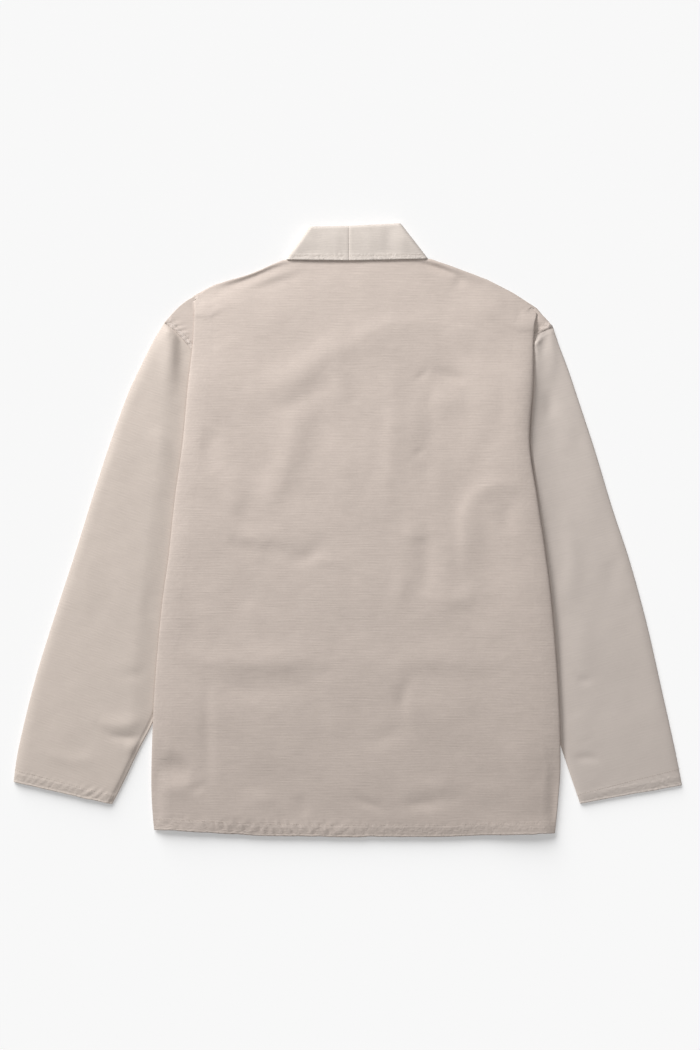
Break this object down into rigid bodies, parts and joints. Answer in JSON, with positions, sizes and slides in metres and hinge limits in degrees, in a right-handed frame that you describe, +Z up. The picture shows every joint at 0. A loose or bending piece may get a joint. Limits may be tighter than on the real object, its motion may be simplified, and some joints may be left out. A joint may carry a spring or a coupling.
{
  "type": "chore shirt",
  "caption": "Long-sleeved cotton chore shirt laid flat on its front, back up, with a turned-down collar and the sleeves tucked under the sides of the body",
  "frame": {"origin": "middle of the bottom of the box, on the surface that the shirt lies on", "axes": "+X across the shirt from its left sleeve to its right sleeve, +Y from the hem to the collar, +Z up out of the back"},
  "size_m": [0.8556, 0.7872, 0.0093],
  "materials": {
    "cloth": "matte slub cotton in stone, with a fine broken rib across the body",
    "button": "satin resin in a darker stone"
  },
  "bodies": {
    "root": {"back": "cloth", "front_left": "cloth", "front_right": "cloth", "sleeve_left": "cloth", "sleeve_right": "cloth", "collar_left": "cloth", "collar_right": "cloth", "pocket_left": "cloth", "pocket_right": "cloth", "button_1": "button", "button_2": "button", "button_3": "button", "button_4": "button", "button_5": "button"}
  },
  "joints": []
}
